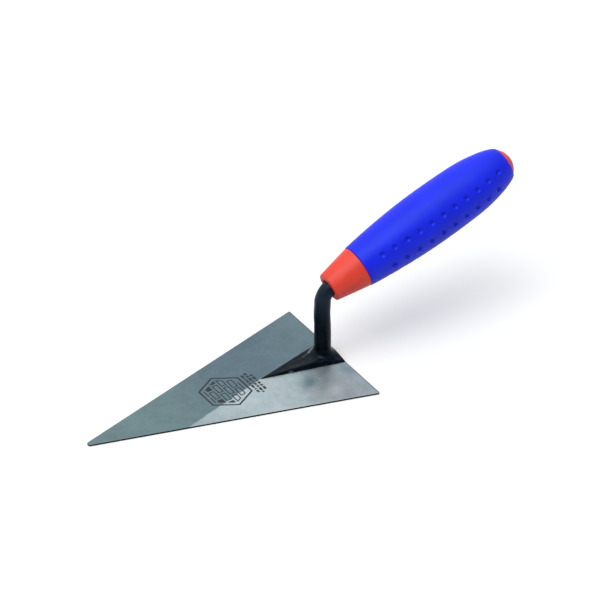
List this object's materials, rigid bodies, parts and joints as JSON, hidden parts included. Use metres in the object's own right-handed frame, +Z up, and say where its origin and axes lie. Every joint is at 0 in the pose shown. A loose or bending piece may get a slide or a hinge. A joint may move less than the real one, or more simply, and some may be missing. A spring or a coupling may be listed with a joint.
{
  "type": "brick trowel",
  "caption": "Hand trowel with a flat triangular steel blade, a forged gooseneck shank and a two-colour moulded handle with a dimpled soft grip.",
  "frame": {"origin": "on the underside of the blade, straight under the axis of the neck", "axes": "+Z up out of the blade's top face, +X from the blade's tip towards the butt of the handle, the tool is symmetric about the XZ plane"},
  "size_m": [0.3095, 0.1028, 0.1072],
  "materials": {
    "blade_steel": "ground, lightly oiled, semi-bright",
    "shank_enamel": "black enamel over forged steel",
    "core_orange": "satin moulded polypropylene",
    "grip_blue": "satin soft-touch elastomer"
  },
  "bodies": {
    "root": {"blade": "blade_steel", "shank": "shank_enamel", "handle_core": "core_orange", "grip_sleeve": "grip_blue", "butt_cap": "core_orange"}
  },
  "joints": []
}
